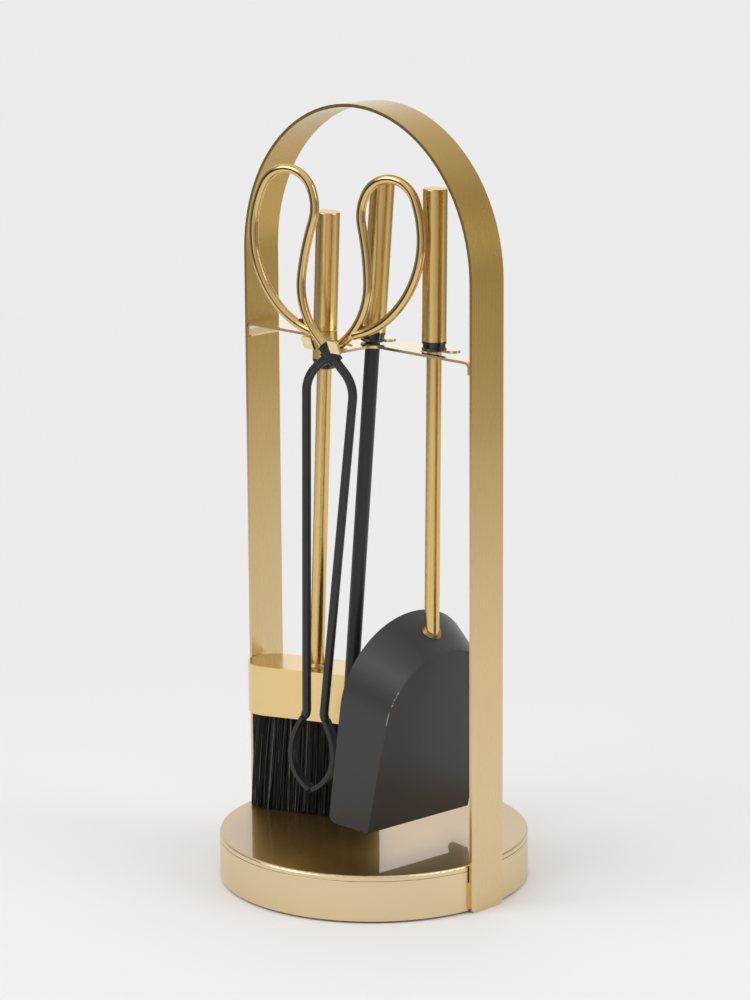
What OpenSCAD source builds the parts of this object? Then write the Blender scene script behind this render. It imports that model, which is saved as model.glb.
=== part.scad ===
// Fireplace tool set: round base with a flat strip arch, a hanger plate,
// and a shovel, a poker, a brush and a pair of tongs that hang on it.
// Millimetres. Z is up, the base stands on Z = 0, the arch lies along X.

/* [Base] */
// Diameter of the round base
base_d = 230; // [180:1:300]
// Height of the base top above the floor
base_h = 36; // [24:1:60]
// Wall thickness of the side band
band_t = 2.5; // [1.5:0.1:5]
// Thickness of the top cap
cap_t = 1.6; // [1:0.1:3]
// Depth of the skirt turned down at the cap's rim
cap_skirt = 4; // [3:0.5:8]
// Radius of the cap's outer edge
cap_round = 1.5; // [0.5:0.1:3]
// Open seam between the skirt and the band
cap_seam = 0.4; // [0.2:0.1:1]
// Thickness of the pad under the base
pad_t = 1.5; // [1:0.1:4]
// How far the pad stays in from the rim
pad_inset = 4; // [1:0.5:15]
// Thickness of the floor plate
floor_t = 2.4; // [1.5:0.1:5]
// Diameter of the cast weight
weight_d = 200; // [100:1:215]
// Height of the cast weight
weight_h = 24; // [10:1:26]
// Radius of the floor screw circle
screw_ring_r = 80; // [30:1:88]
// Shank diameter of the floor screws
screw_d = 4; // [3:0.1:6]
// Length of the floor screws
screw_len = 14; // [8:1:20]

/* [Arch] */
// Width of the flat strip
strip_w = 32; // [20:0.5:44]
// Thickness of the flat strip
strip_t = 2.4; // [1.5:0.1:5]
// Height of the top of the arch
arch_h = 577.5; // [560:0.5:700]
// Corner radius at the foot of each leg
foot_round = 4; // [1:0.5:10]
// Height of the weld beads beside the feet
foot_weld_h = 20; // [8:1:26]

/* [Hanger plate] */
// Drop from the top of the arch to the plate's upper face
plate_drop = 171.5; // [158:0.5:200]
// Sheet thickness of the plate
plate_t = 2; // [1.5:0.1:3]
// Outer radius of the bend at each end
plate_bend = 5; // [3:0.5:8]
// Height of the flange welded to the leg
flange_h = 9.5; // [7:0.5:16]
// Leg of the weld bead under each flange
plate_weld = 2; // [1:0.1:4]
// Half width of the fork arm
fork_half_w = 18.5; // [16:0.5:24]
// Reach of the fork arm in front of the arch plane
fork_reach = 49; // [44:0.5:60]
// Radius of the fork's round seat
fork_seat_r = 14; // [12.5:0.1:14.5]
// Fillet between the fork arm and the strip
fork_fillet = 8; // [3:0.5:14]
// Length of each turned up lip
lip_len = 10.1; // [6:0.5:14]
// Angle by which the lips lean forwards
lip_lean = 22; // [0:1:35]
// Corner radius of the lips
lip_round = 2.2; // [0.5:0.1:4]
// Front edge of the two hook slots
slot_front = 11.4; // [9:0.1:12]
// Back edge of the two hook slots
slot_back = 5; // [4:0.1:8]
// Width of the mouth of each hook slot
slot_mouth = 12.5; // [11.5:0.1:15]
// Length of the finger behind the poker's seat
poker_finger = 5; // [4:0.5:7]
// Length of the finger behind the shovel's seat
shovel_finger = 12.5; // [9:0.5:14]
// Radius of the plate's corner beside each mouth
slot_corner = 7; // [2:0.5:8]
// Radius of the brush notch
notch_r = 10.4; // [10:0.1:12]

/* [Handles] */
// Diameter of the shovel, poker and brush handles
handle_d = 17.8; // [14:0.1:18.4]
// Length of the handles
handle_len = 109; // [80:1:118]
// Edge radius at the top of the handles
handle_round = 1; // [0.3:0.1:3]
// Height of the collars
collar_h = 7.2; // [5:0.1:10]
// Diameter of the rounded lip of the collars
collar_lip_d = 18.2; // [16.5:0.1:20]
// Diameter of the neck of the collars
collar_neck_d = 16.4; // [14:0.1:17]
// Depth of the rod's seat in the handle
rod_seat = 32; // [15:1:60]
// Clearance around the rods in handles and collars
rod_gap = 0.05; // [0.02:0.01:0.1]

/* [Shovel] */
// Diameter of the shovel's rod
shovel_rod_d = 10.9; // [8:0.1:12]
// Distance of the shovel from the inner face of its leg
shovel_in = 49.1; // [45:0.1:55]
// Lean of the hanging shovel
shovel_lean = 0.82; // [0:0.01:2]
// Gap between the lip of the hanging pan and the base top
pan_clear = 16.3; // [8:0.1:30]
// Turn of the pan about its rod
pan_turn = 2.7; // [0:0.1:6]
// Offset of the pan's lip from the rod
pan_offset = 13.1; // [5:0.1:18]
// Lean of the pan's floor against the rod
pan_lean = 13; // [8:0.1:20]
// Half width of the pan's floor
pan_half_w = 50; // [42:0.5:56]
// Length of the pan's floor
pan_len = 138.9; // [110:0.1:146]
// Corner radius at the back of the pan's floor
pan_corner = 49.5; // [20:0.5:49.5]
// Flare angle of the pan's walls
pan_flare = 18.5; // [5:0.5:24]
// Depth of the pan at its open end
pan_depth = 31.3; // [22:0.1:38]
// Angle between the pan's rim and its floor
pan_rim_tilt = 3.7; // [0:0.1:6]
// Angle of the open end against the floor's normal
pan_end_tilt = 6; // [0:0.5:14]
// Radius of the rim's corners at the open end
pan_end_round = 7; // [2:0.5:12]
// Sheet thickness of the pan
pan_t = 1.5; // [1:0.1:2.5]
// Height of the weld bead at the foot of the rods
rod_weld_h = 2.2; // [1:0.1:4]

/* [Poker] */
// Diameter of the poker's rod
poker_rod_d = 10.7; // [8:0.1:11]
// Distance of the poker from the middle of the plate
poker_x = 8; // [4:0.1:12]
// Gap between the point of the poker and the base top
poker_clear = 13.35; // [8:0.05:40]
// Length of the poker's point
poker_tip = 24; // [10:1:40]
// Height of the side hook above the tip
hook_up = 48; // [35:1:70]
// Bend radius of the side hook
hook_r = 18; // [12:0.5:26]
// Diameter of the side hook
hook_d = 8.6; // [6:0.1:10]
// Length of the side hook's point
hook_tip = 16; // [8:1:24]

/* [Brush] */
// Diameter of the brush's rod
brush_rod_d = 10.9; // [8:0.1:12]
// Drop from the plate to the underside of the brush's collar
brush_drop = 28; // [22:0.5:34]
// Lean of the standing brush
brush_lean = 2.73; // [2:0.01:3]
// Gap between the ferrule and the inner face of its leg
ferrule_gap = 0.53; // [0.4:0.01:4]
// Distance of the ferrule's inner end from the middle of the base
ferrule_in = 10; // [8:0.1:30]
// Thickness of the ferrule
ferrule_w = 40; // [30:0.5:40]
// Height of the ferrule
ferrule_h = 38; // [25:0.5:50]
// Height of the ferrule's top above the base top
ferrule_up = 112.5; // [104:0.5:120]
// Sheet thickness of the ferrule
ferrule_t = 1.2; // [0.8:0.1:2]
// Turn of the brush about its rod
ferrule_turn = 23; // [18:1:28]
// How far the tuft stays in from the ends of the ferrule
tuft_in_l = 6.5; // [6.5:0.1:14]
// How far the tuft stays in from the sides of the ferrule
tuft_in_w = 3.5; // [3.5:0.1:8]
// Depth of the bristles' roots below the ferrule's top
tuft_seat = 24; // [12:0.5:30]

/* [Tongs] */
// Turn of the tongs in the fork
tongs_turn = 17; // [10:0.5:22]
// Diameter of the round bar in the legs
leg_d = 6.6; // [5:0.1:6.7]
// Diameter of the bar in the finger loops
loop_d = 6.7; // [5:0.1:6.8]
// Width of the flats at the crossing
flat_w = 9.2; // [8:0.1:10]
// Thickness of the flats at the crossing
flat_t = 4; // [3:0.1:4.4]
// Gap between the two flats
flat_gap = 1; // [0.6:0.1:1.2]
// Offset of each arm from the middle plane of the tongs
arm_off = 3.5; // [3.42:0.01:3.7]
// Diameter of the rivet's shank
rivet_d = 5; // [4:0.1:6]
// Diameter of the rivet's heads
rivet_head_d = 7.4; // [6:0.1:9]
// Height of the rivet's heads
rivet_head_h = 1.4; // [0.8:0.1:2]
// Running clearance of the rivet
rivet_gap = 0.05; // [0.02:0.01:0.1]
// Straight stem between the crossing and the loop
loop_stem = 5; // [4:0.1:6]
// Bend of the stem into the loop's inner side
loop_foot_r = 56.8; // [50:0.1:60]
// Radius of the loop's long inner side
loop_side_r = 202; // [180:1:220]
// Radius of the loop's inner shoulder
loop_shoulder_r = 34; // [31:0.1:35]
// Radius of the loop's crown
loop_crown_r = 21.7; // [20:0.1:23]
// Radius of the loop's outer side
loop_outer_r = 76.5; // [72:0.5:78]
// Radius of the loop where it closes on the stem
loop_close_r = 60.3; // [56:0.1:62]
// Straight run from the crossing to the leg's shoulder
leg_run = 18.7; // [14:0.1:22]
// Bend radius of the leg's shoulder
leg_shoulder_r = 24.6; // [18:0.5:30]
// Angle by which the legs close towards each other
leg_close = 3.3; // [2:0.1:3.6]
// Height of the legs' lower ends above the base top
legs_up = 98.5; // [90:0.5:130]
// Thickness of the claw straps
claw_t = 3.2; // [2:0.1:4]
// Width of the claw straps
claw_w = 8.4; // [7:0.1:10]
// Bend radius where a leg spreads into its claw
claw_bend_r = 8; // [6:0.1:12]
// Angle by which the claws spread
claw_spread = 30; // [20:0.5:34]
// Straight run of the claws after the bend
claw_run = 5.6; // [4:0.1:8]
// Radius of the claws' upper half
claw_side_r = 47.4; // [30:0.1:50]
// Radius of the claws' lower half
claw_tip_r = 29.1; // [24:0.1:30]
// Turn of the claws' lower half
claw_tip_turn = 64.5; // [50:0.5:66]
// Gap between the closed claws
claw_gap = 0.3; // [0.1:0.1:2]

/* [Hidden] */
$fn = 64;
eps = 0.01;
base_r = base_d / 2;
cap_z = base_h - cap_t;
band_top = base_h - cap_skirt - cap_seam;
band_in_r = base_r - band_t;
neck_r = base_r - cap_t - 0.1;
floor_r = band_in_r - 0.05;
weight_z = pad_t + floor_t;
screw_head_d = screw_d * 1.9;
screw_head_h = 1.4;
arch_r = base_r + strip_t;
arch_z = arch_h - arch_r;
far = arch_h + base_d;
plate_z = arch_h - plate_drop;
plate_end = base_r - plate_bend;
flange_z = plate_z - flange_h;
seat_in = 11.05;
seat_y = fork_reach - seat_in;
lip_w = fork_half_w - sqrt(pow(fork_seat_r, 2) - pow(seat_in, 2));
slot_w = slot_front + slot_back;
slot_y = (slot_back - slot_front) / 2;
finger_w = strip_w / 2 - slot_back;
collar_z = 0.3;
handle_r = handle_d / 2;
shovel_x = base_r - shovel_in;
pan_drop = plate_z + collar_z - base_h - pan_clear;
pan_max = pan_depth + pan_len / 4;
pan_up = pan_drop - pan_len * cos(pan_lean);
weld_up = (pan_len * sin(pan_lean) - pan_offset) / cos(pan_flare + pan_lean);
poker_z = plate_z + collar_z + 0.05;
poker_len = poker_z - base_h - poker_clear;
ferrule_out = base_r - ferrule_gap;
ferrule_half = (ferrule_out - ferrule_in) / 2;
ferrule_l = ferrule_w + (2 * ferrule_half - ferrule_w) / cos(ferrule_turn);
ferrule_z = base_h + ferrule_up;
brush_z = plate_z - brush_drop;
brush_foot_x = -(ferrule_out + ferrule_in) / 2;
brush_x = -brush_foot_x - (brush_z - ferrule_z) * tan(brush_lean);
brush_y = 2;
shovel_y = -1.5;
poker_y = -5.8;
tuft_l = ferrule_l - 2 * tuft_in_l;
tuft_w = ferrule_w - 2 * tuft_in_w;
tuft_z = base_h + 0.05;
tuft_up = ferrule_z - tuft_seat;
flat_in = flat_gap / 2;
flat_out = flat_in + flat_t;
flat_end = 7.2;
tongs_x = 3.1;
tongs_out = 4.65;
tongs_down = 3.5;
tongs_at = [tongs_x, -seat_y - tongs_out, plate_z - tongs_down];
leg_out = 134;
leg_turn = 180 + leg_close - leg_out;
leg_head = leg_run * abs(cos(leg_out)) + leg_shoulder_r * (sin(leg_out) + sin(leg_close));
leg_len = tongs_at[2] - base_h - legs_up - leg_head;
leg_set = atan(arm_off / leg_len);
brass = [0.72, 0.58, 0.36];
polished = [0.82, 0.71, 0.50];
black = [0.05, 0.05, 0.05];
gloss = [0.02, 0.02, 0.02];
charcoal = [0.16, 0.16, 0.16];
iron = [0.30, 0.30, 0.31];
steel = [0.60, 0.60, 0.62];

// ---------- base ----------

module base_pad() {
    color(black)
    cylinder(h = pad_t, r = base_r - pad_inset, $fn = 128);
}

module screw_places() {
    for (a = [30, 150, 270]) {
        rotate(a) translate([screw_ring_r, 0, 0]) children();
    }
}

module base_floor() {
    color(iron)
    difference() {
        translate([0, 0, pad_t]) cylinder(h = floor_t, r = floor_r, $fn = 128);
        screw_places() {
            cylinder(h = pad_t + floor_t + 1, d = screw_d + 0.4, $fn = 32);
            cylinder(h = pad_t + screw_head_h + 0.1, d = screw_head_d + 0.4, $fn = 32);
        }
    }
}

module base_screws() {
    color(steel)
    screw_places() {
        translate([0, 0, pad_t + 0.1]) {
            difference() {
                cylinder(h = screw_head_h, d = screw_head_d, $fn = 32);
                translate([-screw_d * 0.7, -0.4, -1]) cube([screw_d * 1.4, 0.8, 1.7]);
                translate([-0.4, -screw_d * 0.7, -1]) cube([0.8, screw_d * 1.4, 1.7]);
            }
            translate([0, 0, screw_head_h - 0.2]) cylinder(h = screw_len, d = screw_d, $fn = 32);
        }
    }
}

module base_weight() {
    color(iron)
    difference() {
        union() {
            translate([0, 0, weight_z])
            cylinder(h = weight_h - 2, d = weight_d, $fn = 96);
            translate([0, 0, weight_z + weight_h - 2])
            cylinder(h = 2, d1 = weight_d, d2 = weight_d - 4, $fn = 96);
        }
        screw_places() {
            cylinder(h = pad_t + screw_len + 3, d = screw_d + 0.1, $fn = 32);
        }
    }
}

module base_band() {
    color(brass)
    rotate_extrude($fn = 128)
    polygon([
        [band_in_r, pad_t],
        [base_r - 0.4, pad_t],
        [base_r, pad_t + 0.4],
        [base_r, band_top - 0.2],
        [base_r - 0.2, band_top],
        [neck_r, band_top],
        [neck_r, cap_z],
        [band_in_r, cap_z]
    ]);
}

module base_cap() {
    color(polished)
    rotate_extrude($fn = 128)
    difference() {
        union() {
            square([base_r - cap_round, base_h]);
            square([base_r, base_h - cap_round]);
            translate([base_r - cap_round, base_h - cap_round]) circle(cap_round, $fn = 32);
        }
        translate([0, -1]) square([base_r - cap_t, cap_z + 1]);
        translate([-1, -1]) square([base_r + 2, base_h - cap_skirt + 1]);
        translate([-10, -1]) square([10, base_h + 2]);
    }
}

// ---------- arch ----------

// The block outside the rounded corner of a leg's foot, across both legs.
module foot_corner() {
    difference() {
        translate([-far, strip_w / 2 - foot_round, -foot_round])
        cube([2 * far, 2 * foot_round, 2 * foot_round]);
        translate([-far - 1, strip_w / 2 - foot_round, foot_round]) rotate([0, 90, 0])
        cylinder(h = 2 * far + 2, r = foot_round, $fn = 48);
    }
}

module arch_frame() {
    color(brass)
    difference() {
        translate([0, strip_w / 2, 0]) rotate([90, 0, 0])
        linear_extrude(strip_w)
        difference() {
            union() {
                translate([0, arch_z]) circle(arch_r, $fn = 160);
                translate([-arch_r, 0]) square([2 * arch_r, arch_z]);
            }
            translate([0, arch_z]) circle(base_r, $fn = 160);
            translate([-base_r, -1]) square([2 * base_r, arch_z + 1]);
        }
        foot_corner();
        mirror([0, 1, 0]) foot_corner();
    }
}

module foot_welds() {
    color(polished)
    for (s = [0, 1]) {
        mirror([s, 0, 0])
        for (t = [0, 1]) {
            mirror([0, t, 0])
            difference() {
                translate([base_r - 2.4, 9, pad_t + 2])
                cube([2.4, strip_w / 2 - 8, foot_weld_h]);
                translate([0, 0, -1]) cylinder(h = base_h, r = base_r + 0.02, $fn = 256);
            }
        }
    }
}

// ---------- hanger plate ----------

// One hook slot, open at the back edge, its seat centred on X = 0.
module hook_slot(finger, mouth_x) {
    difference() {
        union() {
            translate([0, slot_y]) circle(slot_w / 2, $fn = 48);
            translate([0, -slot_front]) square([mouth_x - 3, slot_w]);
            translate([0, -slot_front + 3]) square([mouth_x, slot_w]);
            translate([mouth_x - 3, 3 - slot_front]) circle(3, $fn = 32);
            translate([0, 0]) square([mouth_x, strip_w]);
            translate([mouth_x - eps, strip_w / 2 - slot_corner])
            square([slot_corner + eps, slot_corner + 1]);
        }
        translate([-1, slot_back]) square([finger - finger_w / 2 + 1, finger_w]);
        translate([finger - finger_w / 2, slot_back + finger_w / 2])
        circle(finger_w / 2, $fn = 48);
        translate([mouth_x + slot_corner, strip_w / 2 - slot_corner])
        circle(slot_corner, $fn = 48);
        translate([-20, slot_back]) square([20, strip_w]);
    }
}

module plate_outline() {
    difference() {
        union() {
            translate([-plate_end, -strip_w / 2]) square([2 * plate_end, strip_w]);
            translate([-fork_half_w, -fork_reach]) square([2 * fork_half_w, fork_reach]);
            for (s = [0, 1]) {
                mirror([s, 0])
                difference() {
                    translate([fork_half_w - eps, -strip_w / 2 - fork_fillet])
                    square([fork_fillet + eps, fork_fillet + eps]);
                    translate([fork_half_w + fork_fillet, -strip_w / 2 - fork_fillet])
                    circle(fork_fillet, $fn = 48);
                }
            }
        }
        translate([0, -seat_y]) circle(fork_seat_r, $fn = 96);
        translate([poker_x, 0]) hook_slot(poker_finger, poker_finger + slot_mouth);
        translate([shovel_x, 0]) hook_slot(shovel_finger, shovel_finger + slot_mouth + 1.5);
        translate([-brush_x + 0.7, brush_y]) circle(notch_r, $fn = 64);
        translate([-brush_x + 0.7 - notch_r, brush_y]) square([2 * notch_r, strip_w]);
    }
}

module lip() {
    rotate([90, 0, 0])
    linear_extrude(plate_t)
    union() {
        square([lip_w, lip_len - lip_round]);
        translate([0, 0]) square([lip_w - lip_round, lip_len]);
        translate([lip_w - lip_round, lip_len - lip_round]) circle(lip_round, $fn = 32);
    }
}

// The room under the turned down end of the plate, seen from the front.
// skin is how far its outline stays inside the sheet's outer face.
module end_outline(skin) {
    translate([plate_end - slot_corner - skin, flange_z - skin])
    square([slot_corner + plate_bend, plate_z - plate_bend - flange_z + skin]);
    translate([plate_end - slot_corner - skin, flange_z - skin])
    square([slot_corner + skin, plate_z - flange_z]);
    translate([plate_end, plate_z - plate_bend]) circle(plate_bend - skin, $fn = 96);
}

module hanger_plate() {
    color(polished)
    union() {
        translate([0, 0, plate_z - plate_t]) linear_extrude(plate_t) plate_outline();
        for (s = [0, 1]) {
            mirror([s, 0, 0]) {
                translate([0, strip_w / 2, 0]) rotate([90, 0, 0])
                linear_extrude(strip_w)
                difference() {
                    end_outline(0);
                    end_outline(plate_t);
                }
                translate([fork_half_w - lip_w, -fork_reach + plate_t, plate_z - plate_t])
                rotate([lip_lean, 0, 0]) lip();
            }
        }
    }
}

module hanger_welds() {
    color(polished)
    for (s = [0, 1]) {
        mirror([s, 0, 0])
        intersection() {
            translate([base_r, strip_w / 2 - 2, flange_z]) rotate([90, 0, 0])
            cylinder(h = strip_w - 4, r = plate_weld, $fn = 32);
            translate([base_r - 5, -strip_w / 2, flange_z - 5]) cube([5, strip_w, 5]);
        }
    }
}

// ---------- shared tool pieces ----------

module round_handle(rod_d) {
    translate([0, 0, collar_h])
    rotate_extrude($fn = 64)
    difference() {
        union() {
            square([handle_r - handle_round, handle_len]);
            square([handle_r, handle_len - handle_round]);
            translate([handle_r - handle_round, handle_len - handle_round])
            circle(handle_round, $fn = 32);
        }
        translate([-1, -1]) square([rod_d / 2 + rod_gap + 1, rod_seat + 1]);
        translate([-10, -1]) square([10, handle_len + 2]);
    }
}

module round_collar(rod_d) {
    lip_r = collar_lip_d / 2;
    rotate_extrude($fn = 64)
    difference() {
        union() {
            square([lip_r - 1.2, 2.4]);
            translate([lip_r - 1.2, 1.2]) circle(1.2, $fn = 32);
            square([collar_neck_d / 2, collar_h]);
            translate([0, collar_h - 2]) square([handle_r, 2]);
        }
        translate([-1, -1]) square([rod_d / 2 + rod_gap + 1, collar_h + 2]);
        translate([-20, -1]) square([20, collar_h + 2]);
    }
}

module round_rod(rod_d, down) {
    translate([0, 0, -down])
    cylinder(h = down + collar_h + rod_seat - 0.3, d = rod_d, $fn = 48);
}

// ---------- shovel ----------

module shovel_pose() {
    translate([shovel_x, shovel_y, plate_z + collar_z])
    rotate([0, shovel_lean, 0])
    children();
}

module pan_pose() {
    rotate(-pan_turn)
    translate([-pan_offset, 0, -pan_drop])
    rotate([0, pan_lean, 0])
    rotate([90, 0, -90])
    children();
}

// The solid that the pan's walls wrap, drawn from its floor outwards.
// X across, Y from the open end to the back, Z from the floor to the rim.
module pan_block(skin) {
    grow = pan_max * tan(pan_flare);
    side = skin / cos(pan_flare);
    mid = pan_half_w - pan_corner;
    back = pan_len - pan_corner;
    r = pan_corner - side;
    w = pan_half_w - side;
    union() {
        for (s = [-1, 1]) {
            translate([s * mid, back, 0]) cylinder(h = pan_max, r1 = r, r2 = r + grow, $fn = 96);
        }
        translate([0, back, 0]) rotate([90, 0, 0])
        linear_extrude(back + 30)
        polygon([[-w, 0], [w, 0], [w + grow, pan_max], [-w - grow, pan_max]]);
        translate([-mid, 0, 0]) rotate([90, 0, 90])
        linear_extrude(2 * mid)
        polygon([
            [back - 1, 0],
            [pan_len - side, 0],
            [pan_len - side + grow, pan_max],
            [back - 1, pan_max]
        ]);
    }
}

module pan_cut() {
    // above the rim
    translate([0, 0, pan_depth]) rotate([pan_rim_tilt, 0, 0])
    translate([-far, -far, 0]) cube([2 * far, 2 * far, far]);
    // below the open end
    rotate([pan_end_tilt, 0, 0])
    translate([-far, -far, -far]) cube([2 * far, far, 2 * far]);
    // round the rim's corners at the open end
    translate([0, -pan_depth * sin(pan_end_tilt), pan_depth]) rotate([pan_end_tilt, 0, 0])
    difference() {
        translate([-far, -pan_end_round, -pan_end_round])
        cube([2 * far, 2 * pan_end_round, 3 * pan_end_round]);
        translate([-far - 1, pan_end_round, -pan_end_round]) rotate([0, 90, 0])
        cylinder(h = 2 * far + 2, r = pan_end_round, $fn = 48);
        translate([-far - 1, pan_end_round, -2 * pan_end_round])
        cube([2 * far + 2, pan_end_round + 1, 5 * pan_end_round]);
    }
}

module shovel_handle() {
    color(brass) shovel_pose() round_handle(shovel_rod_d);
}

module shovel_collar() {
    color(gloss) shovel_pose() round_collar(shovel_rod_d);
}

module shovel_rod() {
    color(brass)
    shovel_pose()
    difference() {
        round_rod(shovel_rod_d, pan_up + rod_seat);
        pan_pose() translate([0, pan_len, 0]) rotate([-pan_flare, 0, 0])
        translate([-far, -far, -far]) cube([2 * far, far, 2 * far]);
    }
}

// The weld bead where the rod meets the back wall of the pan.
module shovel_weld() {
    color(polished)
    shovel_pose()
    difference() {
        pan_pose()
        translate([0, pan_len, 0]) rotate([-pan_flare, 0, 0])
        translate([0, 0, weld_up]) rotate([-90, 0, 0])
        cylinder(h = rod_weld_h, r1 = shovel_rod_d * 0.72, r2 = shovel_rod_d * 0.6, $fn = 48);
        translate([0, 0, -pan_drop]) cylinder(h = pan_drop, d = shovel_rod_d + 0.1, $fn = 48);
    }
}

module shovel_pan() {
    color(charcoal)
    shovel_pose() pan_pose()
    difference() {
        pan_block(0);
        translate([0, 0, pan_t])
        pan_block(pan_t + pan_t * sin(pan_flare));
        pan_cut();
    }
}

// ---------- poker ----------

module poker_pose() {
    translate([poker_x, poker_y, poker_z])
    rotate([-2.75, 2.69, 0])
    children();
}

module poker_handle() {
    color(brass) poker_pose() round_handle(poker_rod_d);
}

module poker_collar() {
    color(gloss) poker_pose() round_collar(poker_rod_d);
}

module poker_rod() {
    color(black)
    poker_pose()
    union() {
        round_rod(poker_rod_d, poker_len - poker_tip);
        translate([0, 0, -poker_len])
        cylinder(h = poker_tip, d1 = 2.4, d2 = poker_rod_d, $fn = 48);
    }
}

module poker_hook() {
    color(black)
    poker_pose()
    difference() {
        translate([0, 0, -poker_len + hook_up]) {
            translate([0, hook_r, 0]) rotate([0, 90, 0]) rotate([0, 0, -90])
            rotate_extrude(angle = 90, $fn = 96)
            translate([hook_r, 0]) circle(d = hook_d, $fn = 32);
            translate([0, hook_r, -hook_r]) rotate([-90, 0, 0])
            cylinder(h = hook_tip, d1 = hook_d, d2 = 2.4, $fn = 32);
        }
        translate([0, 0, -poker_len]) cylinder(h = poker_len, d = poker_rod_d, $fn = 48);
    }
}

// ---------- brush ----------

module brush_pose() {
    translate([-brush_x, brush_y, brush_z])
    rotate([0, brush_lean, 0])
    children();
}

module stadium(l, w) {
    square([l - w, w], center = true);
    for (s = [-1, 1]) {
        translate([s * (l - w) / 2, 0]) circle(w / 2, $fn = 64);
    }
}

module ferrule_pose(z) {
    translate([brush_foot_x, brush_y, z]) rotate(ferrule_turn) children();
}

module brush_handle() {
    color(brass) brush_pose() round_handle(brush_rod_d);
}

module brush_collar() {
    color(gloss) brush_pose() round_collar(brush_rod_d);
}

module brush_rod() {
    color(brass)
    difference() {
        brush_pose() round_rod(brush_rod_d, brush_z - ferrule_z + brush_rod_d);
        translate([-far, -far, ferrule_z - far]) cube([2 * far, 2 * far, far]);
    }
}

module brush_weld() {
    color(polished)
    difference() {
        translate([brush_foot_x, brush_y, ferrule_z])
        cylinder(h = rod_weld_h, r1 = brush_rod_d * 0.68, r2 = brush_rod_d * 0.55, $fn = 48);
        brush_pose()
        translate([0, 0, -brush_z]) cylinder(h = brush_z, d = brush_rod_d + 0.1, $fn = 48);
    }
}

module brush_ferrule() {
    color(polished)
    ferrule_pose(ferrule_z - ferrule_h)
    difference() {
        linear_extrude(ferrule_h) stadium(ferrule_l, ferrule_w);
        translate([0, 0, -1]) linear_extrude(ferrule_h - ferrule_t + 1)
        stadium(ferrule_l - 2 * ferrule_t, ferrule_w - 2 * ferrule_t);
    }
}

module brush_block() {
    color([0.45, 0.32, 0.18])
    ferrule_pose(tuft_up)
    linear_extrude(ferrule_z - ferrule_t - tuft_up)
    stadium(ferrule_l - 2 * ferrule_t - 0.2, ferrule_w - 2 * ferrule_t - 0.2);
}

module brush_bristles() {
    color(gloss)
    difference() {
        translate([brush_foot_x, brush_y, tuft_up]) rotate([0, brush_lean, 0])
        rotate(ferrule_turn)
        translate([0, 0, -tuft_up]) linear_extrude(tuft_up + tuft_w) stadium(tuft_l, tuft_w);
        translate([-far, -far, tuft_up]) cube([2 * far, 2 * far, far]);
        translate([-far, -far, tuft_z - far]) cube([2 * far, 2 * far, far]);
    }
}

// ---------- tongs ----------

module tongs_pose() {
    translate(tongs_at)
    rotate([0, 0, tongs_turn])
    rotate([-1.5, 0, 0])
    rotate([0, 2.58, 0])
    children();
}

// A bar drawn as it would be bent: every step is [length, 0] for a
// straight run or [radius, turn] for a bend to the right (+) or left (-).
// It starts at the origin along +Z, bends in the XZ plane, and its section
// is the child. A hair proud ring joins each run to the next.
module join_ring() {
    translate([0, 0, -0.2]) linear_extrude(0.4) scale(1.006) children();
}

module bent_bar(steps, i = 0) {
    if (i < len(steps)) {
        run = steps[i][0];
        turn = steps[i][1];
        flip = turn < 0 ? 1 : 0;
        if (i > 0) {
            join_ring() children();
        }
        if (turn == 0) {
            linear_extrude(run) children();
            translate([0, 0, run]) bent_bar(steps, i + 1) children();
        } else {
            mirror([flip, 0, 0]) {
                translate([run, 0, 0]) rotate([90, 0, 180])
                rotate_extrude(angle = abs(turn), $fn = 96)
                translate([run, 0]) children();
                translate([run * (1 - cos(turn)), 0, run * sin(abs(turn))])
                rotate([0, abs(turn), 0])
                mirror([flip, 0, 0])
                bent_bar(steps, i + 1) children();
            }
        }
    }
}

// The right finger loop, in the plane of its arm.
module finger_loop() {
    union() {
        rotate([0, 45, 0]) translate([0, 0, flat_end])
        bent_bar([
            [loop_stem, 0],
            [loop_foot_r, -49.5],
            [loop_side_r, -11.2],
            [loop_shoulder_r, 41.4],
            [loop_crown_r, 130],
            [loop_outer_r, 71.1],
            [loop_close_r, 24.1],
            [5.5, 0]
        ]) circle(d = loop_d, $fn = 32);
        // the web that fills the V
        rotate([90, 0, 0]) translate([0, 0, -1.8])
        linear_extrude(3.6)
        polygon([[9, 9], [14, 12], [27, 17.5], [24.4, 21.8], [20, 23]]);
    }
}

module bar_round() {
    circle(d = leg_d, $fn = 32);
}

// The claw at the end of a leg: the bar bends outwards and flattens into a
// strap that curves back to the middle.
module claw() {
    bend = claw_spread + leg_close;
    join_ring() bar_round();
    bent_bar([[claw_bend_r, -bend]]) bar_round();
    translate([-claw_bend_r * (1 - cos(bend)), 0, claw_bend_r * sin(bend)])
    rotate([0, -bend, 0]) {
        join_ring() bar_round();
        translate([0, 0, -0.1])
        cylinder(h = claw_run - 0.8, d1 = leg_d - 0.02, d2 = claw_t + 0.4, $fn = 32);
        translate([0, 0, claw_run / 5])
        bent_bar([
            [claw_run * 0.8, 0],
            [claw_side_r, claw_spread],
            [claw_tip_r, claw_tip_turn]
        ]) translate([-claw_t / 2, -claw_w / 2]) square([claw_t, claw_w]);
    }
}

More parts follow.
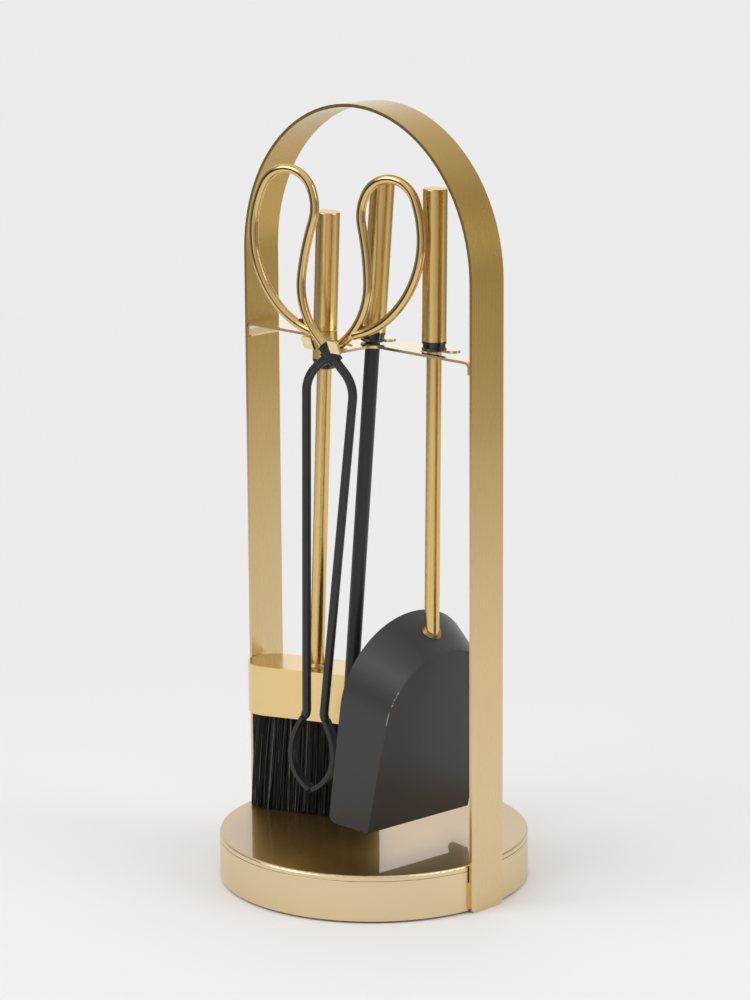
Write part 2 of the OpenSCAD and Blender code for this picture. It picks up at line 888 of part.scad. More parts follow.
// A leg from the crossing to its claw. Below the shoulder it leans by
// leg_set, so that both claws end in the middle plane.
module leg_and_claw() {
    rotate([0, leg_out, 0]) {
        translate([0, 0, flat_end])
        bent_bar([[leg_run - flat_end, 0], [leg_shoulder_r, leg_turn]]) bar_round();
        translate([leg_shoulder_r * (1 - cos(leg_turn)), 0, leg_run])
        translate([0, 0, leg_shoulder_r * sin(leg_turn)])
        rotate([0, leg_turn, 0]) rotate([-leg_set, 0, 0]) {
            join_ring() bar_round();
            linear_extrude(leg_len) bar_round();
            translate([0, 0, leg_len]) rotate([leg_set, 0, 0]) claw();
        }
    }
}

// The right leg of the tongs with its flat at the crossing.
// Its arm lies in front of the middle plane.
module front_leg() {
    difference() {
        union() {
            translate([0, -flat_in, 0]) {
                rotate([90, 0, 0]) cylinder(h = flat_t, d = flat_w, $fn = 64);
                rotate([0, -45, 0]) translate([-flat_w / 2, -flat_t, -flat_end - 2])
                cube([flat_w, flat_t, 2 * flat_end + 2]);
            }
            translate([0, -arm_off, 0]) leg_and_claw();
        }
        rotate([90, 0, 0]) cylinder(h = 20, d = rivet_d + 2 * rivet_gap, $fn = 48);
        translate([claw_gap / 2 - far, -far, -2 * far - 2 * leg_shoulder_r])
        cube([far, 2 * far, 2 * far]);
    }
}

module front_loop() {
    translate([0, -arm_off, 0]) mirror([1, 0, 0]) finger_loop();
}

module tongs_loop_left() {
    color(brass) tongs_pose() front_loop();
}

module tongs_leg_right() {
    color(black) tongs_pose() front_leg();
}

module tongs_loop_right() {
    color(brass) tongs_pose() rotate(180) front_loop();
}

module tongs_leg_left() {
    color(black) tongs_pose() rotate(180) front_leg();
}

module tongs_washer() {
    color(steel)
    tongs_pose() rotate([90, 0, 0])
    difference() {
        cylinder(h = flat_gap - 0.04, d = flat_w, center = true, $fn = 48);
        cylinder(h = 4, d = rivet_d + 2 * rivet_gap, center = true, $fn = 48);
    }
}

module tongs_rivet() {
    color(black)
    tongs_pose() rotate([90, 0, 0])
    union() {
        cylinder(h = 2 * flat_out + 0.1, d = rivet_d, center = true, $fn = 48);
        for (s = [0, 1]) {
            mirror([0, 0, s]) {
                translate([0, 0, flat_out + 0.03])
                cylinder(h = rivet_head_h * 0.4, d = rivet_head_d, $fn = 48);
                translate([0, 0, flat_out + 0.03 + rivet_head_h * 0.4])
                cylinder(h = rivet_head_h * 0.6, d1 = rivet_head_d, d2 = rivet_head_d - 2, $fn = 48);
            }
        }
    }
}

base_pad();
base_floor();
base_screws();
base_weight();
base_band();
base_cap();
arch_frame();
foot_welds();
hanger_plate();
hanger_welds();
shovel_handle();
shovel_collar();
shovel_rod();
shovel_weld();
shovel_pan();
poker_handle();
poker_collar();
poker_rod();
poker_hook();
brush_handle();
brush_collar();
brush_rod();
brush_weld();
brush_ferrule();
brush_block();
brush_bristles();
tongs_loop_left();
tongs_loop_right();
tongs_leg_left();
tongs_leg_right();
tongs_washer();
tongs_rivet();
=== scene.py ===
"""Looks for the fireplace tool set: finishes on the solids, and the strands of the brush."""

import math
import random

import bmesh
import bpy
from mathutils import Matrix, Vector


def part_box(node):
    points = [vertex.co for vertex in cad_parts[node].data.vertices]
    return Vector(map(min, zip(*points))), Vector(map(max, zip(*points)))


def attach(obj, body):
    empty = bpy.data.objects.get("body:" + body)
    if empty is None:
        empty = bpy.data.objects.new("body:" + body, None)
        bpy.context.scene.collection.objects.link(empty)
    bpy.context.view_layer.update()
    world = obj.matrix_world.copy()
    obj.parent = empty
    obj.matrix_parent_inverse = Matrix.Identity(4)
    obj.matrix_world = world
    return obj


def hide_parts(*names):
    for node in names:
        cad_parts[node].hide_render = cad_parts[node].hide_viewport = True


bl_info = {
    "name": "Fireplace Tool Set",
    "version": (1, 0, 0),
    "blender": (4, 5, 0),
    "location": "View3D > Sidebar > Hearth",
    "description": "Dresses the fireplace tool set and lights it",
    "category": "Object",
}

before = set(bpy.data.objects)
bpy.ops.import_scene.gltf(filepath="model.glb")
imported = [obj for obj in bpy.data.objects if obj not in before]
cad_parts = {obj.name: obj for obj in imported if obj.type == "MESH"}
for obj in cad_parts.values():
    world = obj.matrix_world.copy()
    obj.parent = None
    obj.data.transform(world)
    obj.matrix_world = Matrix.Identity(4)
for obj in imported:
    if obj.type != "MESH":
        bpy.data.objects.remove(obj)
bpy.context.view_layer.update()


# ---------- shader maths ----------

class Wire:
    """One output socket that takes part in shader maths."""

    def __init__(self, finish, socket):
        self.finish = finish
        self.socket = socket

    def _maths(self, operation, a, b):
        return self.finish.node("ShaderNodeMath", {"operation": operation}, {0: a, 1: b})

    def __add__(self, other):
        return self._maths("ADD", self, other)

    def __radd__(self, other):
        return self._maths("ADD", other, self)

    def __sub__(self, other):
        return self._maths("SUBTRACT", self, other)

    def __rsub__(self, other):
        return self._maths("SUBTRACT", other, self)

    def __mul__(self, other):
        return self._maths("MULTIPLY", self, other)

    def __rmul__(self, other):
        return self._maths("MULTIPLY", other, self)


def tint(colour):
    """A colour as a socket wants it."""
    return (*colour, 1.0)


def shade(colour, by, lift=0.0):
    """A colour made darker or paler."""
    return [c * by + lift for c in colour]


class Nodes:
    """A node tree under construction."""

    def __init__(self, tree):
        self.tree = tree
        self.tree.nodes.clear()

    def node(self, kind, settings=None, sockets=None, out=0):
        """Adds a node: settings first, then the values or links of its sockets."""
        made = self.tree.nodes.new(kind)
        for key, value in (settings or {}).items():
            if key == "stops":
                ramp = made.color_ramp
                while len(ramp.elements) < len(value):
                    ramp.elements.new(0.5)
                for element, (place, colour) in zip(ramp.elements, value):
                    element.position = place
                    element.color = tint(colour)
            elif key == "ramp_interpolation":
                made.color_ramp.interpolation = value
            else:
                setattr(made, key, value)
        for key, value in (sockets or {}).items():
            if isinstance(value, Wire):
                self.tree.links.new(value.socket, made.inputs[key])
            else:
                made.inputs[key].default_value = value
        return Wire(self, made.outputs[out] if made.outputs else None)

    def parts(self, vector):
        """The X, Y and Z of a vector."""
        split = self.node("ShaderNodeSeparateXYZ", {}, {0: vector})
        return [Wire(self, split.socket.node.outputs[i]) for i in range(3)]

    def steps(self, value, low, high):
        """A smooth run from zero to one as value goes from low to high."""
        return self.node("ShaderNodeMapRange", {"interpolation_type": "SMOOTHSTEP"}, {
            "Value": value, "From Min": low, "From Max": high, "To Min": 0.0, "To Max": 1.0})

    def blend(self, amount, first, second):
        """Mixes two colours."""
        first, second = (c if isinstance(c, Wire) else tint(c) for c in (first, second))
        return self.node("ShaderNodeMix", {"data_type": "RGBA"},
                         {0: amount, 6: first, 7: second}, out=2)

    def between(self, value, rise, fall):
        """One between the run rise and the run fall, zero outside them."""
        return self.steps(value, *rise) * self.steps(value, *fall)

    def length(self, vector):
        return self.node("ShaderNodeVectorMath", {"operation": "LENGTH"}, {0: vector}, out=1)


class Finish(Nodes):
    """A material under construction."""

    def __init__(self, name):
        self.material = bpy.data.materials.new(name)
        self.material.use_nodes = True
        super().__init__(self.material.node_tree)
        self.shader = self.node("ShaderNodeBsdfPrincipled")
        self.node("ShaderNodeOutputMaterial", {}, {0: self.shader})

    def show(self, shader):
        """Shows this shader in place of the plain one."""
        output = next(n for n in self.tree.nodes if n.type == "OUTPUT_MATERIAL")
        self.tree.links.new(shader.socket, output.inputs[0])

    def feed(self, name, value):
        """Gives the shader's socket a constant or a link."""
        socket = self.shader.socket.node.inputs[name]
        if isinstance(value, Wire):
            self.tree.links.new(value.socket, socket)
        else:
            socket.default_value = tint(value) if name == "Base Color" else value

    def place(self):
        return self.node("ShaderNodeTexCoord", out=3)

    def axes(self):
        return self.parts(self.place())

    def stretched(self, scale, turn=(0, 0, 0)):
        return self.node("ShaderNodeMapping", {}, {
            "Vector": self.place(), "Rotation": turn, "Scale": scale})

    def grain(self, vector, detail=3.0, rough=0.55):
        return self.node("ShaderNodeTexNoise", {}, {
            "Vector": vector, "Scale": 1.0, "Detail": detail, "Roughness": rough})

    def brushed(self, lines):
        """Fine brushed lines, and a slow drift of tone over them."""
        fine = self.grain(self.stretched(lines), 3.0, 0.6)
        cloud = self.grain(self.stretched(DRIFT), 2.0)
        return fine, cloud

    def dented(self, height, strength, depth):
        return self.node("ShaderNodeBump", {}, {
            "Height": height, "Strength": strength, "Distance": depth})


def put_on(finish, *nodes):
    """Gives CAD nodes their material."""
    for name in nodes:
        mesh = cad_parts[name].data
        mesh.materials.clear()
        mesh.materials.append(finish.material)


# ---------- finishes ----------

DRIFT = (9, 9, 9)            # scale of the slow drift of tone over brass
WORN = 0.70                  # tone of worn brass, as a share of its colour
LINES_ROUGHEN = 0.08         # what the lines can add to the roughness
DRIFT_ROUGHENS = 0.05        # what the drift can add to it
USUAL_ROUGHENING = 0.06      # what a grain adds to the roughness on average
BRUSHED_DENT = 0.35          # strength of the lines as dents
# The arch's colour darkening with height is a painted reflection of dark surroundings, not a tone
# of the brass.
PAINTED_REFLECTION_FROM = 0.06          # height in metres where the arch's colour begins to deepen
PAINTED_REFLECTION_TO = 0.50            # height where it is at its deepest
SCRATCH = (1500, 14, 300)    # scale of the long thin scratches in the plate
SCRATCH_TURNS = (0.5, -0.9)  # their two directions, in radians
SCRATCH_EDGE = (0.66, 0.74)  # how much of the grain counts as a scratch
LACQUER_ROUGHNESS = 0.03
LACQUER_IOR = 1.7
CAP_LACQUER_IOR = 2.2        # higher than real lacquer's, so that the top mirrors strongly
COAT_DRIFT = (18, 18, 18)    # scale of the slow drift of tone over black paint

RUBBER = (0.02, 0.02, 0.02)
IRON = (0.10, 0.10, 0.11)
ZINC = (0.55, 0.56, 0.58)
WOOD = (0.30, 0.19, 0.09)
COLLAR_BLACK = (0.006, 0.006, 0.006)
ROD_WELD = (0.36, 0.24, 0.10)
FERRULE = (0.84, 0.62, 0.28)
FIBRE_DARK = (0.004, 0.004, 0.004)
FIBRE_GREY = (0.14, 0.135, 0.13)
RUBBED_METAL = (0.36, 0.35, 0.34)

def brass(name, colour, roughness, lines, depth, tone=0.10, coat=0.0, painted_dark_reflection=None, marks=0.0):
    """Brass with fine lines. lines scales the place so that the lines run along its
    smallest axis, and coat is the clear lacquer over it. painted_dark_reflection is the
    tone that the colour itself turns to with height: a painted reflection of dark
    surroundings that the room here doesn't have, so leave it out for another room."""
    made = Finish(name)
    fine, cloud = made.brushed(lines)
    base = colour
    # Painted reflection: the colour darkens with height to stand in for dark surroundings
    # mirrored by the upper arch.
    if painted_dark_reflection:
        height = made.axes()[2]
        base = made.blend(made.steps(height, PAINTED_REFLECTION_FROM, PAINTED_REFLECTION_TO), colour, painted_dark_reflection)
    made.feed("Base Color", made.blend(fine * tone + cloud * tone, base, shade(colour, WORN)))
    made.feed("Metallic", 1.0)
    made.feed("Roughness", fine * LINES_ROUGHEN + cloud * DRIFT_ROUGHENS
              + (roughness - USUAL_ROUGHENING))
    dents = fine
    if marks > 0:
        first, second = (made.steps(made.grain(made.stretched(SCRATCH, (0, 0, turn)), 2.0),
                                    *SCRATCH_EDGE) for turn in SCRATCH_TURNS)
        dents = fine + (first + second) * marks
    made.feed("Normal", made.dented(dents, BRUSHED_DENT, depth))
    if coat > 0:
        made.feed("Coat Weight", coat)
        made.feed("Coat Roughness", LACQUER_ROUGHNESS)
        made.feed("Coat IOR", LACQUER_IOR)
    return made


def paint(name, colour, roughness, grit, depth, coat=0.0):
    """Paint or powder coat with a fine grit."""
    made = Finish(name)
    fine = made.grain(made.stretched((grit, grit, grit)))
    cloud = made.grain(made.stretched(COAT_DRIFT), 2.0)
    made.feed("Base Color", made.blend(cloud, colour, shade(colour, 1.5, 0.002)))
    made.feed("Roughness", cloud * 0.12 + (roughness - USUAL_ROUGHENING))
    made.feed("Coat Weight", coat)
    if depth:
        made.feed("Normal", made.dented(fine, 0.4, depth))
    return made


def plain(name, colour, roughness, metallic=0.0):
    """Finish of a piece that is hidden or small: a colour with a little grain."""
    made = Finish(name)
    fine = made.grain(made.stretched((300, 300, 300)))
    made.feed("Base Color", made.blend(fine, colour, shade(colour, WORN)))
    made.feed("Metallic", metallic)
    made.feed("Roughness", roughness)
    made.feed("Normal", made.dented(fine, 0.3, 0.0004))
    return made


CREASE_WIDTH = (0.0009, 0.0002)         # distances over which the rubbing fades, in metres
CREASE_HEIGHT = (0.0009, 0.0003)
FLECKS = ((0.1025, 0.1055), (0.1165, 0.1130))  # where along the pan the flecks begin and end
HAIR = ((0.088, 0.090), (0.100, 0.097))        # and the hairline before them


def pan_coat(colour, frame_of_pan, half_width, back):
    """Charcoal powder coat, rubbed bright in short flecks along one crease of the pan.
    half_width and back place the crease in the pan's own frame."""
    made = Finish("pan_powder_coat")
    fine = made.grain(made.stretched((1400, 1400, 1400)))
    cloud = made.grain(made.stretched((14, 14, 14)), 2.0)
    own = made.node("ShaderNodeMapping", {"vector_type": "TEXTURE"}, {
        "Vector": made.place(), "Location": frame_of_pan.translation[:],
        "Rotation": frame_of_pan.to_euler("XYZ")[:]})
    across, along, up = made.parts(own)
    beyond = made.node("ShaderNodeMath", {"operation": "MAXIMUM"}, {0: along - back, 1: 0.0})
    offset = made.node("ShaderNodeCombineXYZ", {}, {0: across - 0.0005, 1: beyond, 2: 0.0})
    side = made.node("ShaderNodeMath", {"operation": "ABSOLUTE"},
                     {0: made.length(offset) - half_width})
    near = made.steps(side, *CREASE_WIDTH) * made.steps(up, *CREASE_HEIGHT)
    gaps = made.steps(made.grain(made.stretched((900, 900, 900)), 2.0), 0.48, 0.58)
    bright = made.between(along, *FLECKS) * gaps + made.between(along, *HAIR) * 0.5
    rub = near * bright * made.steps(across, 0.0, 0.002)
    base = made.blend(cloud, colour, shade(colour, 1.35))
    made.feed("Base Color", made.blend(rub, base, RUBBED_METAL))
    made.feed("Roughness", cloud * 0.08 + 0.34)
    made.feed("Normal", made.dented(fine, 0.45, 0.00008))
    return made


def strand_fibre(dark, grey):
    """Bristle fibre: mostly black strands, some of them grey."""
    made = Finish("bristle_fibre")
    which = made.node("ShaderNodeNewGeometry", out=8)
    colour = made.node("ShaderNodeValToRGB", {"stops": [
        (0.0, dark), (0.72, shade(dark, 1.6)), (0.90, shade(grey, 0.3)), (1.0, grey)]},
        {0: which})
    made.feed("Base Color", colour)
    made.feed("Roughness", 0.5)
    made.feed("Specular IOR Level", 0.22)
    return made


# ---------- shapes ----------

def new_piece(name, mesh_builder, material, body, replaces):
    """Makes a mesh piece from a bmesh, and fixes it to its body in place of CAD nodes."""
    mesh = bpy.data.meshes.new(name)
    mesh_builder.to_mesh(mesh)
    mesh_builder.free()
    piece = bpy.data.objects.new(name, mesh)
    bpy.context.scene.collection.objects.link(piece)
    mesh.materials.append(material)
    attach(piece, body)
    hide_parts(*replaces)


def stadium_point(draw, length, width):
    """A seeded point in a stadium that lies along X."""
    while True:
        x = draw.uniform(-length / 2, length / 2)
        y = draw.uniform(-width / 2, width / 2)
        over = abs(x) - (length - width) / 2
        if over <= 0 or math.hypot(over, y) <= width / 2:
            return x, y


STRAND_SIDES = 3
STRAND_RINGS = 5
STRAND_TAPER = 0.35  # share of its radius that a fibre loses towards its tip


def strand(mesh, root, tip, bow, radius):
    """One fibre from root to tip, bowed sideways by the vector bow."""
    sides = STRAND_SIDES
    along = (tip - root).normalized()
    side = along.orthogonal().normalized()
    other = along.cross(side)
    last = None
    for i in range(STRAND_RINGS):
        t = i / (STRAND_RINGS - 1)
        centre = root.lerp(tip, t) + bow * math.sin(math.pi * t)
        size = radius * (1.0 - STRAND_TAPER * t)
        ring = []
        for k in range(sides):
            a = 2 * math.pi * k / sides
            ring.append(mesh.verts.new(
                centre + side * (size * math.cos(a)) + other * (size * math.sin(a))))
        if last:
            for k in range(sides):
                mesh.faces.new((last[k], last[(k + 1) % sides], ring[(k + 1) % sides], ring[k]))
        else:
            mesh.faces.new(ring[::-1])
        last = ring
    mesh.faces.new(last)


# ---------- settings ----------

class HearthColours(bpy.types.PropertyGroup):
    """Colours a user would change."""
    strip: bpy.props.FloatVectorProperty(
        name="Brushed brass", description="Colour of the arch at its foot",
        subtype="COLOR", size=3, min=0, max=1, default=(0.76, 0.575, 0.31))
    band: bpy.props.FloatVectorProperty(
        name="Base band", description="Colour of the base band and the cap's skirt",
        subtype="COLOR", size=3, min=0, max=1, default=(0.80, 0.64, 0.39))
    # Painted reflection: the arch's colour at its top is darkened to stand in for dark
    # surroundings mirrored there.
    strip_painted_reflection: bpy.props.FloatVectorProperty(
        name="Brushed brass, upper",
        description="Colour of the arch at its top. It stands in for dark surroundings, "
                    "so set it to Brushed brass in another room",
        subtype="COLOR", size=3, min=0, max=1, default=(0.50, 0.31, 0.06))
    tube: bpy.props.FloatVectorProperty(
        name="Satin brass", description="Colour of the handles and brass rods",
        subtype="COLOR", size=3, min=0, max=1, default=(0.77, 0.535, 0.20))
    cast: bpy.props.FloatVectorProperty(
        name="Cast brass", description="Colour of the finger loops",
        subtype="COLOR", size=3, min=0, max=1, default=(0.74, 0.52, 0.22))
    sheet: bpy.props.FloatVectorProperty(
        name="Polished brass", description="Colour of the hanger plate and the beads at the arch",
        subtype="COLOR", size=3, min=0, max=1, default=(0.86, 0.66, 0.32))
    lacquered: bpy.props.FloatVectorProperty(
        name="Lacquered brass", description="Colour of the base top under its clear lacquer",
        subtype="COLOR", size=3, min=0, max=1, default=(0.56, 0.34, 0.07))
    black: bpy.props.FloatVectorProperty(
        name="Black", description="Colour of the poker and the legs of the tongs",
        subtype="COLOR", size=3, min=0, max=1, default=(0.012, 0.012, 0.013))
    pan: bpy.props.FloatVectorProperty(
        name="Charcoal", description="Colour of the shovel's pan",
        subtype="COLOR", size=3, min=0, max=1, default=(0.024, 0.024, 0.026))


class HearthSizes(bpy.types.PropertyGroup):
    """Sizes a user would change."""
    strand_count: bpy.props.IntProperty(
        name="Strands", description="Number of fibres in the brush",
        min=200, max=6000, default=3400)
    strand_radius: bpy.props.FloatProperty(
        name="Strand radius", description="Radius of one fibre at its root",
        unit="LENGTH", subtype="DISTANCE", min=0.0001, max=0.001, precision=5, default=0.00042)
    splay: bpy.props.FloatProperty(
        name="Splay", description="How far the outer fibres spread at their tips",
        unit="LENGTH", subtype="DISTANCE", min=0, max=0.01, precision=4, default=0.0030)


class HearthLight(bpy.types.PropertyGroup):
    """Light and floor."""
    floor: bpy.props.FloatVectorProperty(
        name="Floor", description="Colour of the far floor and the backdrop",
        subtype="COLOR", size=3, min=0, max=1, default=(0.835, 0.835, 0.835))
    paper: bpy.props.FloatVectorProperty(
        name="Paper", description="Colour of the floor beside the object",
        subtype="COLOR", size=3, min=0, max=1, default=(0.84, 0.84, 0.84))
    key: bpy.props.FloatProperty(
        name="Key lamp", description="Power of the large soft lamp",
        unit="POWER", min=0, max=400, default=24.0)
    room: bpy.props.FloatProperty(
        name="Room", description="Level of the even light from all around",
        min=0, max=2, default=0.84)


def colours():
    return bpy.context.scene.hearth_colours


def sizes():
    return bpy.context.scene.hearth_sizes


def light():
    return bpy.context.scene.hearth_light


# ---------- pieces ----------

BAND_LINES = (6, 6, 2400)


class HEARTH_OT_base(bpy.types.Operator):
    """Dress the round base: pad, floor plate, screws, weight, band and cap"""
    bl_idname = "hearth.base"
    bl_label = "Base"

    RIM_OUT = 0.0006  # the lacquer fades in between these distances from the rim
    RIM_IN = 0.0014

    def cap(self):
        """Brushed like the band on its skirt, lacquered to a mirror on its top."""
        made = Finish("cap_lacquered_brass")
        lines, cloud = made.brushed(BAND_LINES)
        radius = made.length(made.node("ShaderNodeVectorMath", {"operation": "MULTIPLY"}, {
            0: made.place(), 1: (1.0, 1.0, 0.0)}))
        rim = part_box("base_cap")[1][0]
        flat = made.steps(radius, rim - self.RIM_OUT, rim - self.RIM_IN)
        dust = made.steps(made.grain(made.stretched((900, 900, 900)), 2.0), 0.70, 0.76)
        strip = colours().band
        skirt = made.blend(lines * 0.08 + cloud * 0.08, strip, shade(strip, WORN))
        under = colours().lacquered
        top = made.blend(cloud, under, shade(under, 0.8))
        top = made.blend(dust * 0.5, top, shade(under, 1.6))
        made.feed("Base Color", made.blend(flat, skirt, top))
        made.feed("Metallic", 1.0)
        made.feed("Roughness", lines * LINES_ROUGHEN + cloud * DRIFT_ROUGHENS
                  + flat * 0.12 + 0.22)
        made.feed("Coat Weight", flat)
        made.feed("Coat Roughness", LACQUER_ROUGHNESS)
        made.feed("Coat IOR", CAP_LACQUER_IOR)
        made.feed("Normal", made.dented(lines, BRUSHED_DENT, 0.00004))
        return made

    def execute(self, context):
        put_on(plain("base_pad_rubber", RUBBER, 0.85), "base_pad")
        put_on(plain("base_plain_iron", IRON, 0.6, 0.8), "base_floor", "base_weight")
        put_on(plain("base_zinc", ZINC, 0.35, 1.0), "base_screws")
        put_on(brass("band_brushed_brass", colours().band, 0.30, BAND_LINES, 0.00004, 0.08),
               "base_band")
        put_on(self.cap(), "base_cap")
        return {"FINISHED"}


class HEARTH_OT_arch(bpy.types.Operator):
    """Dress the flat strip arch and its weld beads"""
    bl_idname = "hearth.arch"
    bl_label = "Arch"

    def execute(self, context):
        # The arch's base colour carries a painted reflection that darkens it upwards.
        put_on(brass("arch_brushed_brass", colours().strip, 0.27, (5, 2200, 5), 0.00004, 0.08,
                     coat=0.4, painted_dark_reflection=colours().strip_painted_reflection), "arch_frame")
        put_on(brass("weld_brass", colours().sheet, 0.28, (400, 400, 400), 0.0002),
               "foot_welds", "hanger_welds")
        return {"FINISHED"}


class HEARTH_OT_hanger(bpy.types.Operator):
    """Dress the hanger plate with its fork and slots"""
    bl_idname = "hearth.hanger"
    bl_label = "Hanger plate"

    def execute(self, context):
        put_on(brass("plate_polished_brass", colours().sheet, 0.20, (900, 60, 60), 0.00001, 0.05,
                     coat=1.0, marks=0.5),
               "hanger_plate")
        return {"FINISHED"}


class HEARTH_OT_handles(bpy.types.Operator):
    """Dress the handles, collars and rods of the shovel, the poker and the brush"""
    bl_idname = "hearth.handles"
    bl_label = "Handles and rods"

    def execute(self, context):
        tube = brass("handle_satin_brass", colours().tube, 0.24, (30, 30, 3200), 0.000006, 0.06)
        put_on(tube, "shovel_handle", "poker_handle", "brush_handle", "shovel_rod", "brush_rod")
        put_on(paint("collar_gloss_black", COLLAR_BLACK, 0.12, 200, 0, 0.6),
               "shovel_collar", "poker_collar", "brush_collar")
        put_on(brass("rod_weld_brass", ROD_WELD, 0.35, (400, 400, 400), 0.0002),
               "shovel_weld", "brush_weld")
        return {"FINISHED"}


class HEARTH_OT_shovel_pan(bpy.types.Operator):
    """Dress the shovel's pan"""
    bl_idname = "hearth.shovel_pan"
    bl_label = "Shovel pan"

    HUNG_AT = (0.0659, -0.0015, 0.4063)  # where the shovel hangs from the plate
    LEAN = math.radians(0.82)            # how the rod leans from there
    TURN = math.radians(2.7)             # how the shovel is turned about its rod
    DOWN = (-0.0131, 0.0, -0.354)        # from there to the pan's own origin
    TILT = math.radians(13)              # how the pan tilts on its rod
    CREASE_HALF_WIDTH = 0.0495
    CREASE_BACK = 0.0894

    def execute(self, context):
        hang = Matrix.Translation(self.HUNG_AT) @ Matrix.Rotation(self.LEAN, 4, "Y")
        turned = Matrix.Rotation(-self.TURN, 4, "Z") @ Matrix.Translation(self.DOWN)
        laid = (Matrix.Rotation(self.TILT, 4, "Y") @ Matrix.Rotation(-math.pi / 2, 4, "Z")
                @ Matrix.Rotation(math.pi / 2, 4, "X"))
        put_on(pan_coat(colours().pan, hang @ turned @ laid, self.CREASE_HALF_WIDTH,
                        self.CREASE_BACK), "shovel_pan")
        return {"FINISHED"}


class HEARTH_OT_poker(bpy.types.Operator):
    """Dress the poker's rod and side hook"""
    bl_idname = "hearth.poker"
    bl_label = "Poker"

    def execute(self, context):
        put_on(paint("poker_powder_coat", colours().black, 0.42, 1600, 0.0001),
               "poker_rod", "poker_hook")
        return {"FINISHED"}


class HEARTH_OT_tongs(bpy.types.Operator):
    """Dress the finger loops, legs, washer and rivet of the tongs"""
    bl_idname = "hearth.tongs"
    bl_label = "Tongs"

    def execute(self, context):
        put_on(brass("loop_cast_brass", colours().cast, 0.13, (160, 160, 160), 0.00006),
               "tongs_loop_left", "tongs_loop_right")
        put_on(paint("tongs_powder_coat", colours().black, 0.40, 1600, 0.0001),
               "tongs_leg_left", "tongs_leg_right", "tongs_rivet")
        put_on(plain("tongs_zinc", ZINC, 0.35, 1.0), "tongs_washer")
        return {"FINISHED"}


class HEARTH_OT_brush(bpy.types.Operator):
    """Dress the ferrule and grow the strands of the brush"""
    bl_idname = "hearth.brush"
    bl_label = "Brush head"

    TURN = math.radians(23)    # how the head is turned about its rod
    LENGTH = 0.096             # of the bundle of strands
    WIDTH = 0.032
    LEAN = math.radians(2.73)  # how the brush leans in its slot
    ROOTED = 0.006             # how far the strands reach up into the ferrule
    STRAY = 0.0007             # how far the tips stray, and how unevenly they are cut
    BOW = 0.0006               # how far the strands bow
    SEED = 41

    def execute(self, context):
        put_on(brass("ferrule_brass", FERRULE, 0.24, (8, 8, 2200), 0.000015, 0.08, coat=0.3),
               "brush_ferrule")
        put_on(plain("brush_block_wood", WOOD, 0.7), "brush_block")
        ferrule_low, ferrule_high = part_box("brush_ferrule")
        centre = Vector(((ferrule_low[0] + ferrule_high[0]) / 2,
                         (ferrule_low[1] + ferrule_high[1]) / 2, 0))
        top = ferrule_low[2] + self.ROOTED
        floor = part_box("brush_bristles")[0][2]
        fibre = strand_fibre(FIBRE_DARK, FIBRE_GREY)
        draw = random.Random(self.SEED)
        mesh = bmesh.new()
        turn = Matrix.Rotation(self.TURN, 3, "Z")
        shift = Vector((-math.tan(self.LEAN), 0, 0))
        for _ in range(sizes().strand_count):
            x, y = stadium_point(draw, self.LENGTH, self.WIDTH)
            root = centre + turn @ Vector((x, y, 0))
            root.z = top
            out = Vector((x / (self.LENGTH / 2), y / (self.WIDTH / 2), 0))
            spread = turn @ (out * sizes().splay)
            wild = Vector((draw.gauss(0, self.STRAY), draw.gauss(0, self.STRAY), 0))
            end = floor + abs(draw.gauss(0, self.STRAY))
            tip = root + shift * (top - floor) + spread + wild
            tip.z = end
            bow = Vector((draw.gauss(0, self.BOW), draw.gauss(0, self.BOW), 0))
            size = sizes().strand_radius * draw.uniform(0.75, 1.2)
            strand(mesh, root, tip, bow, size)
        new_piece("brush_strands", mesh, fibre.material, "brush",
                  ["brush_bristles"])
        return {"FINISHED"}


# ---------- stage ----------

def camera_matrix(place, heading, pitch, roll):
    """World matrix of a camera that looks along heading, dipped by pitch."""
    ahead = Vector((-math.sin(heading) * math.cos(pitch), math.cos(heading) * math.cos(pitch),
                    -math.sin(pitch)))
    right = Vector((math.cos(heading), math.sin(heading), 0))
    up = right.cross(ahead)
    tipped = right * math.cos(roll) - up * math.sin(roll)
    risen = up * math.cos(roll) + right * math.sin(roll)
    turn = Matrix((tipped, risen, -ahead)).transposed().to_4x4()
    return Matrix.Translation(place) @ turn


